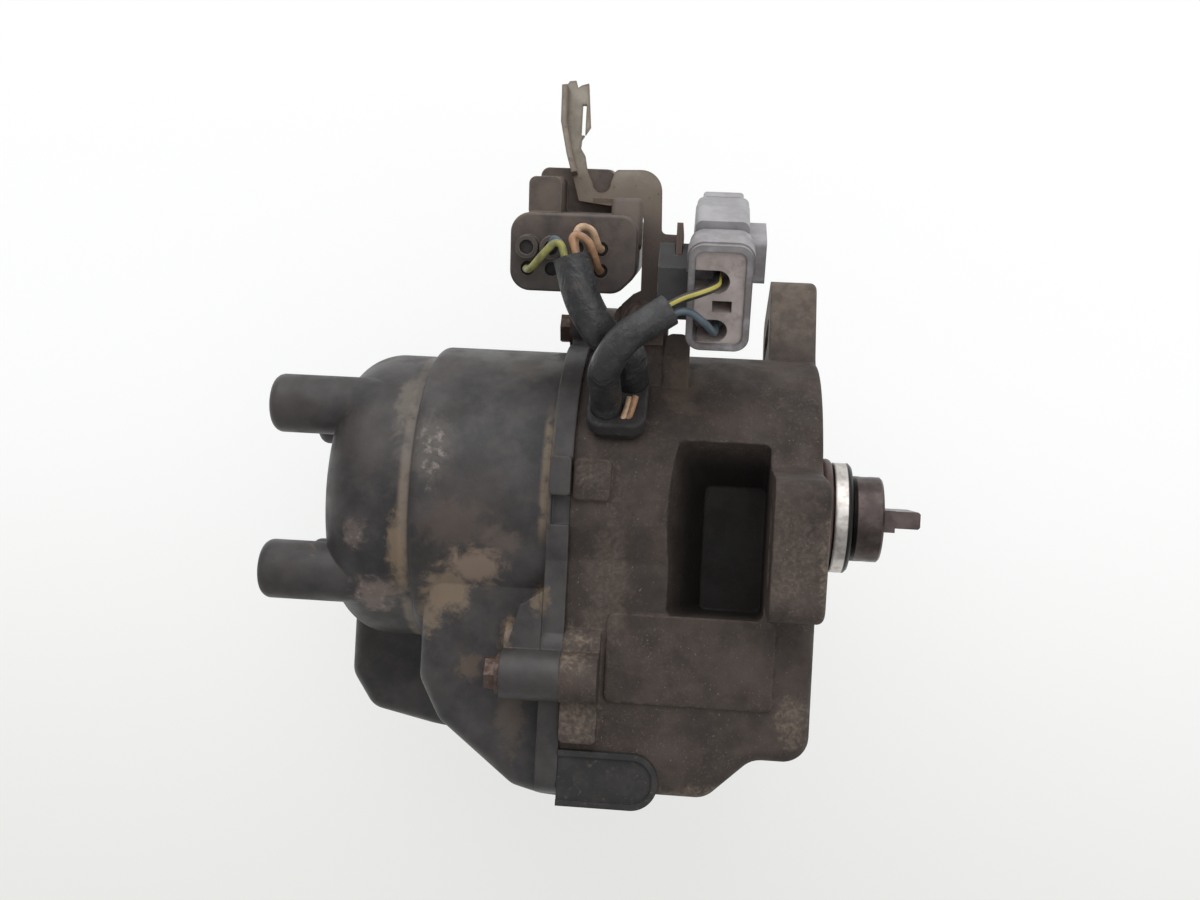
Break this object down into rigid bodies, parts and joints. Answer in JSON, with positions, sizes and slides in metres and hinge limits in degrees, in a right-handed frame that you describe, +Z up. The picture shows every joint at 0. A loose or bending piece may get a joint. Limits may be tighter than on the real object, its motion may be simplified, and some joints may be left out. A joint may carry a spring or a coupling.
{
  "type": "ignition distributor",
  "caption": "Engine ignition distributor: cast housing with slotted ears and offset drive tang, black cap with lead towers, coil and igniter inside, two harness connectors on a bracket.",
  "frame": {"origin": "on the shaft axis, in the plane of the ears' mounting face", "axes": "+X along the shaft toward the engine, +Z up as in the picture, +Y away from the side with the wrench pocket"},
  "size_m": [0.1886, 0.1415, 0.1996],
  "materials": {
    "cast_housing": "dull sand cast, darkened",
    "cap_moulding": "moulded, dusty",
    "zinc_screws": "zinc plated, some rust",
    "bracket_sheet": "plated sheet, stained",
    "black_rubber": "dull",
    "coupling_steel": "dark, oiled",
    "ground_steel": "ground",
    "bush_bronze": "satin",
    "reluctor_steel": "satin",
    "leak_cover_plastic": "matt",
    "rotor_moulding": "semi matt",
    "contact_brass": "satin",
    "carbon": "matt",
    "spring_steel": "bright",
    "cast_electrode": "satin",
    "coil_resin": "semi matt",
    "core_laminations": "dull",
    "module_resin": "matt",
    "plate_aluminium": "satin",
    "connector_brown": "worn",
    "connector_grey": "worn",
    "retainer_pink": "semi matt",
    "clip_plastic": "worn",
    "pin_tin": "tinned",
    "sleeve_vinyl": "semi matt",
    "blue_insulation": "semi gloss",
    "tan_insulation": "semi gloss",
    "orange_insulation": "semi gloss",
    "green_insulation": "semi gloss",
    "black_insulation": "semi gloss",
    "grey_insulation": "semi gloss"
  },
  "bodies": {
    "body": {"housing": "cast_housing", "distributor_cap": "cap_moulding", "cap_screws": "zinc_screws", "bracket_screw": "zinc_screws", "retainer_screws": "zinc_screws", "leak_cover_screws": "zinc_screws", "coil_screws": "zinc_screws", "igniter_screws": "zinc_screws", "pickup_screws": "zinc_screws", "connector_bracket": "bracket_sheet", "spigot_o_ring": "black_rubber", "oil_seal": "black_rubber", "cap_seal": "black_rubber", "harness_grommet": "black_rubber", "side_plug": "black_rubber", "wire_seals": "black_rubber", "bearing_outer_race": "ground_steel", "bearing_retainer": "reluctor_steel", "spigot_bush": "bush_bronze", "leak_cover": "leak_cover_plastic", "brush_spring": "spring_steel", "centre_terminal": "contact_brass", "tower_electrodes": "cast_electrode", "coil_core": "core_laminations", "coil_winding": "coil_resin", "coil_lead": "black_insulation", "pickup_coils": "coil_resin", "pickup_cores": "reluctor_steel", "heat_plate": "plate_aluminium", "igniter_module": "module_resin", "large_connector": "connector_brown", "large_connector_pins": "pin_tin", "small_connector": "connector_grey", "small_connector_retainer": "retainer_pink", "small_connector_pins": "pin_tin", "connector_clip": "clip_plastic", "large_connector_sleeve": "sleeve_vinyl", "small_connector_sleeve": "sleeve_vinyl", "blue_wire": "blue_insulation", "tan_wire": "tan_insulation", "orange_wire": "orange_insulation", "green_wire": "green_insulation", "black_wire": "black_insulation", "grey_wire": "grey_insulation"},
    "shaft": {"drive_shaft": "ground_steel", "drive_coupling": "coupling_steel", "coupling_pin": "coupling_steel", "crank_angle_wheel": "reluctor_steel", "dead_centre_wheel": "reluctor_steel", "cylinder_wheel": "reluctor_steel", "bearing_inner_race": "ground_steel", "rotor_arm": "rotor_moulding", "rotor_blade": "contact_brass", "rotor_screw": "zinc_screws"},
    "cage": {"bearing_cage": "ground_steel", "bearing_balls": "ground_steel"},
    "brush": {"carbon_brush": "carbon"}
  },
  "joints": [
    {"name": "shaft_spin", "type": "hinge", "parent": "body", "child": "shaft", "pos_m": [0, 0, 0], "axis": [1, 0, 0], "continuous": true},
    {"name": "cage_spin", "type": "hinge", "parent": "body", "child": "cage", "pos_m": [-0.039, 0, 0], "axis": [1, 0, 0], "continuous": true},
    {"name": "brush_slide", "type": "slide", "parent": "body", "child": "brush", "axis": [-1, 0, 0], "range_m": [0, 0.002], "stiffness_N_per_m": 150, "springref_m": -0.004, "deforming": ["brush_spring"]}
  ],
  "couplings": [
    {"joint": "cage_spin", "follows": "shaft_spin", "ratio": 0.381}
  ]
}
